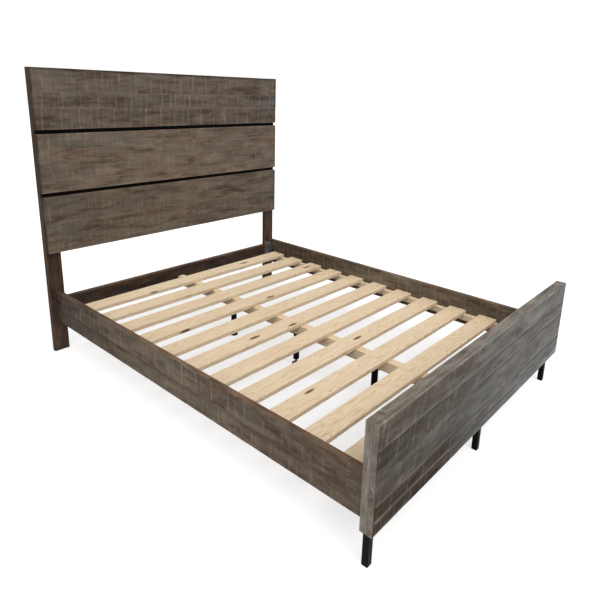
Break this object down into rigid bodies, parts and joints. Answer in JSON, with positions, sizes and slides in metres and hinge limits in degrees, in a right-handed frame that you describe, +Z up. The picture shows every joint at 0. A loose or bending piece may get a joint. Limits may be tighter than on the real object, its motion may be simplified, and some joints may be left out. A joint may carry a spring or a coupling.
{
  "type": "bed frame",
  "caption": "Low platform bed frame with a tall plank headboard, a plank footboard on square steel legs, side rails and a slatted base.",
  "frame": {"origin": "on the floor, at the centre of the bed's footprint", "axes": "+Z up, +Y towards the headboard, +X to the right of a person standing at the foot and looking at the headboard"},
  "size_m": [1.64, 2.146, 1.495],
  "materials": {
    "headboard_planks": "rough-sawn planks, grey-brown wash, matt",
    "footboard_planks": "rough-sawn planks, grey-brown wash, low sheen",
    "side_rail_boards": "rough-sawn planks, grey-brown wash, matt",
    "head_frame_timber": "dark brown stain, matt",
    "foot_frame_timber": "grey wash, matt",
    "black_batten": "matt black paint",
    "pine": "planed, unfinished",
    "black_steel": "satin black powder coat",
    "zinc_steel": "bright zinc plate",
    "screw_steel": "yellow zinc plate",
    "black_plastic": "moulded, matt"
  },
  "bodies": {
    "bed_frame": {"beam_hangers": "zinc_steel", "centre_beam": "pine", "cleat_left": "pine", "cleat_right": "pine", "foot_bottom_rail": "foot_frame_timber", "foot_centre_stile": "foot_frame_timber", "foot_leg_centre": "black_steel", "foot_leg_left": "black_steel", "foot_leg_plugs": "black_plastic", "foot_leg_right": "black_steel", "foot_plank_1": "footboard_planks", "foot_plank_2": "footboard_planks", "foot_plank_3": "footboard_planks", "foot_plank_4": "footboard_planks", "foot_plank_5": "footboard_planks", "foot_stile_left": "foot_frame_timber", "foot_stile_right": "foot_frame_timber", "foot_top_rail": "foot_frame_timber", "head_batten_lower": "black_batten", "head_batten_upper": "black_batten", "head_centre_stile": "head_frame_timber", "head_lower_rail": "head_frame_timber", "head_plank_1": "headboard_planks", "head_plank_2": "headboard_planks", "head_plank_3": "headboard_planks", "head_plank_4": "headboard_planks", "head_plank_5": "headboard_planks", "head_plank_6": "headboard_planks", "head_plank_7": "headboard_planks", "head_plank_8": "headboard_planks", "head_plank_9": "headboard_planks", "head_post_left": "head_frame_timber", "head_post_right": "head_frame_timber", "head_stretcher": "head_frame_timber", "head_top_rail": "head_frame_timber", "plate_screws": "screw_steel", "rail_hooks": "zinc_steel", "rail_sockets": "zinc_steel", "side_board_left_lower": "side_rail_boards", "side_board_left_upper": "side_rail_boards", "side_board_right_lower": "side_rail_boards", "side_board_right_upper": "side_rail_boards", "slat_1": "pine", "slat_10": "pine", "slat_11": "pine", "slat_2": "pine", "slat_3": "pine", "slat_4": "pine", "slat_5": "pine", "slat_6": "pine", "slat_7": "pine", "slat_8": "pine", "slat_9": "pine", "support_leg_foot": "black_steel", "support_leg_head": "black_steel", "support_leg_middle": "black_steel", "wood_screws": "screw_steel"},
    "leveller_foot": {"leveller_foot": "black_plastic"},
    "leveller_head": {"leveller_head": "black_plastic"},
    "leveller_middle": {"leveller_middle": "black_plastic"}
  },
  "joints": [
    {"name": "leveller_foot_height", "type": "slide", "parent": "bed_frame", "child": "leveller_foot", "axis": [0, 0, 1], "range_m": [0, 0.015]},
    {"name": "leveller_head_height", "type": "slide", "parent": "bed_frame", "child": "leveller_head", "axis": [0, 0, 1], "range_m": [0, 0.015]},
    {"name": "leveller_middle_height", "type": "slide", "parent": "bed_frame", "child": "leveller_middle", "axis": [0, 0, 1], "range_m": [0, 0.015]}
  ]
}
